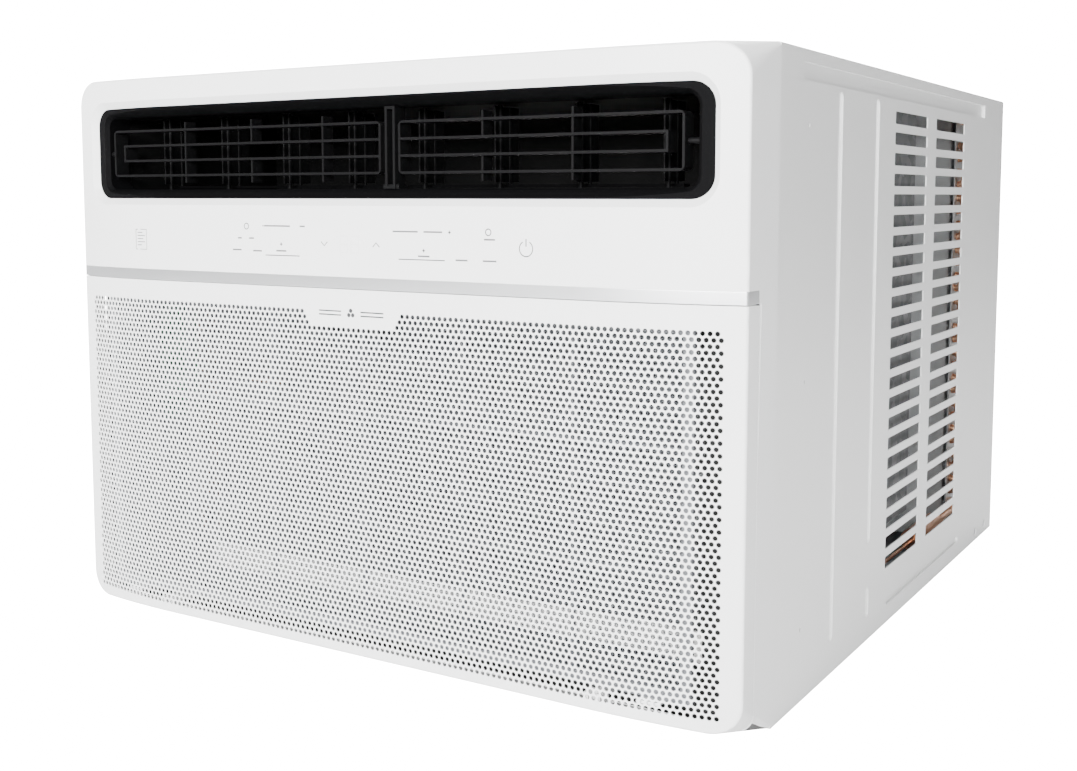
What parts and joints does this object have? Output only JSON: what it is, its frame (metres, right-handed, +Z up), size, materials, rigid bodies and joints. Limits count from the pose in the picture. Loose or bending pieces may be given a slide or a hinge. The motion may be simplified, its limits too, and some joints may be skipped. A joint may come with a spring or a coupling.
{
  "type": "window air conditioner",
  "caption": "Window air conditioner with a louvred outlet, a hinged perforated inlet panel and a vented steel cabinet around a complete cooling chassis.",
  "frame": {"origin": "middle of the footprint, on the surface the cabinet stands on", "axes": "+X right seen from the front, +Y from the front to the rear, +Z up"},
  "size_m": [0.604, 0.692, 0.45],
  "materials": {
    "cabinet_paint": "satin powder coat on pressed steel",
    "screw_steel": "zinc plated",
    "galvanised_steel": "galvanised, faint spangle",
    "foam_seal": "closed-cell foam",
    "coil_aluminium": "thin fins",
    "copper_tube": "drawn copper",
    "white_foam": "moulded polystyrene",
    "grey_plastic": "moulded, matte",
    "black_plastic": "moulded, low gloss",
    "motor_paint": "baked enamel",
    "bearing_bronze": "sintered bronze",
    "black_paint": "baked black enamel",
    "dark_plastic": "glass-filled, matte",
    "black_rubber": "matte",
    "circuit_board": "solder-masked board",
    "capacitor_can": "drawn can",
    "front_plastic": "fine-textured white moulding",
    "silver_trim": "satin silver",
    "filter_plastic": "moulded, matte",
    "filter_net": "fine woven net",
    "sensor_copper": "small sensor tube"
  },
  "bodies": {
    "housing": {"cabinet_wrap": "cabinet_paint", "cabinet_floor": "cabinet_paint", "cabinet_screws": "screw_steel", "base_pan": "galvanised_steel", "bulkhead": "galvanised_steel", "bulkhead_seal": "foam_seal", "evaporator_coil": "coil_aluminium", "evaporator_bends": "copper_tube", "drain_tray": "white_foam", "scroll_housing": "white_foam", "inlet_ring": "grey_plastic", "discharge_duct": "black_plastic", "motor_shell": "motor_paint", "motor_bearings": "bearing_bronze", "motor_bracket": "galvanised_steel", "motor_bolts": "screw_steel", "compressor": "black_paint", "terminal_cover": "dark_plastic", "side_baffle": "galvanised_steel", "compressor_grommets": "black_rubber", "compressor_nuts": "screw_steel", "accumulator": "black_paint", "discharge_tube": "copper_tube", "suction_tube": "copper_tube", "capillary_tube": "copper_tube", "filter_drier": "copper_tube", "condenser_coil": "coil_aluminium", "condenser_bends": "copper_tube", "condenser_shroud": "grey_plastic", "electrical_box": "galvanised_steel", "control_board": "circuit_board", "run_capacitor": "capacitor_can", "cord_gland": "dark_plastic", "fascia": "front_plastic", "outlet_bezel": "black_plastic", "centre_post": "black_plastic", "trim_strip": "silver_trim", "display_board": "circuit_board", "fascia_screws": "screw_steel", "swing_motor": "dark_plastic", "room_thermistor": "sensor_copper", "drain_plug": "black_rubber", "wiring_harness": "black_rubber"},
    "fan_rotor": {"motor_shaft": "screw_steel", "blower_wheel": "dark_plastic", "condenser_fan": "dark_plastic"},
    "louver_left": {"louver_left": "black_plastic"},
    "louver_right": {"louver_right": "black_plastic"},
    "inlet_panel": {"inlet_panel": "front_plastic", "filter_frame": "filter_plastic", "filter_mesh": "filter_net"},
    "vane_1": {"vane_1": "black_plastic"},
    "vane_2": {"vane_2": "black_plastic"},
    "vane_3": {"vane_3": "black_plastic"},
    "vane_4": {"vane_4": "black_plastic"},
    "vane_5": {"vane_5": "black_plastic"},
    "vane_6": {"vane_6": "black_plastic"},
    "vane_7": {"vane_7": "black_plastic"},
    "vane_8": {"vane_8": "black_plastic"},
    "vane_link": {"vane_link": "black_plastic"}
  },
  "joints": [
    {"name": "fan_spin", "type": "hinge", "parent": "housing", "child": "fan_rotor", "pos_m": [0.022, 0, 0.212], "axis": [0, 1, 0], "continuous": true},
    {"name": "louver_left_tilt", "type": "hinge", "parent": "housing", "child": "louver_left", "pos_m": [-0.12, -0.3275, 0.3868], "axis": [1, 0, 0], "range_deg": [-20, 20]},
    {"name": "louver_right_tilt", "type": "hinge", "parent": "housing", "child": "louver_right", "pos_m": [0.15, -0.3275, 0.3868], "axis": [1, 0, 0], "range_deg": [-20, 20]},
    {"name": "inlet_panel_hinge", "type": "hinge", "parent": "housing", "child": "inlet_panel", "pos_m": [0, -0.335, 0.02], "axis": [1, 0, 0], "range_deg": [0, 60]},
    {"name": "vane_1_swing", "type": "hinge", "parent": "housing", "child": "vane_1", "pos_m": [-0.231, -0.299, 0.3868], "axis": [0, 0, 1], "range_deg": [-28, 28]},
    {"name": "vane_2_swing", "type": "hinge", "parent": "housing", "child": "vane_2", "pos_m": [-0.165, -0.299, 0.3868], "axis": [0, 0, 1], "range_deg": [-28, 28]},
    {"name": "vane_3_swing", "type": "hinge", "parent": "housing", "child": "vane_3", "pos_m": [-0.099, -0.299, 0.3868], "axis": [0, 0, 1], "range_deg": [-28, 28]},
    {"name": "vane_4_swing", "type": "hinge", "parent": "housing", "child": "vane_4", "pos_m": [-0.033, -0.299, 0.3868], "axis": [0, 0, 1], "range_deg": [-28, 28]},
    {"name": "vane_5_swing", "type": "hinge", "parent": "housing", "child": "vane_5", "pos_m": [0.033, -0.299, 0.3868], "axis": [0, 0, 1], "range_deg": [-28, 28]},
    {"name": "vane_6_swing", "type": "hinge", "parent": "housing", "child": "vane_6", "pos_m": [0.099, -0.299, 0.3868], "axis": [0, 0, 1], "range_deg": [-28, 28]},
    {"name": "vane_7_swing", "type": "hinge", "parent": "housing", "child": "vane_7", "pos_m": [0.165, -0.299, 0.3868], "axis": [0, 0, 1], "range_deg": [-28, 28]},
    {"name": "vane_8_swing", "type": "hinge", "parent": "housing", "child": "vane_8", "pos_m": [0.231, -0.299, 0.3868], "axis": [0, 0, 1], "range_deg": [-28, 28]},
    {"name": "vane_link_slide", "type": "slide", "parent": "housing", "child": "vane_link", "axis": [1, 0, 0], "range_m": [-0.006, 0.006]}
  ],
  "couplings": [
    {"joint": "vane_1_swing", "follows": "vane_8_swing", "ratio": 1},
    {"joint": "vane_2_swing", "follows": "vane_8_swing", "ratio": 1},
    {"joint": "vane_3_swing", "follows": "vane_8_swing", "ratio": 1},
    {"joint": "vane_4_swing", "follows": "vane_8_swing", "ratio": 1},
    {"joint": "vane_5_swing", "follows": "vane_8_swing", "ratio": 1},
    {"joint": "vane_6_swing", "follows": "vane_8_swing", "ratio": 1},
    {"joint": "vane_7_swing", "follows": "vane_8_swing", "ratio": 1},
    {"joint": "vane_link_slide", "follows": "vane_8_swing", "m_per_rad": -0.012}
  ]
}
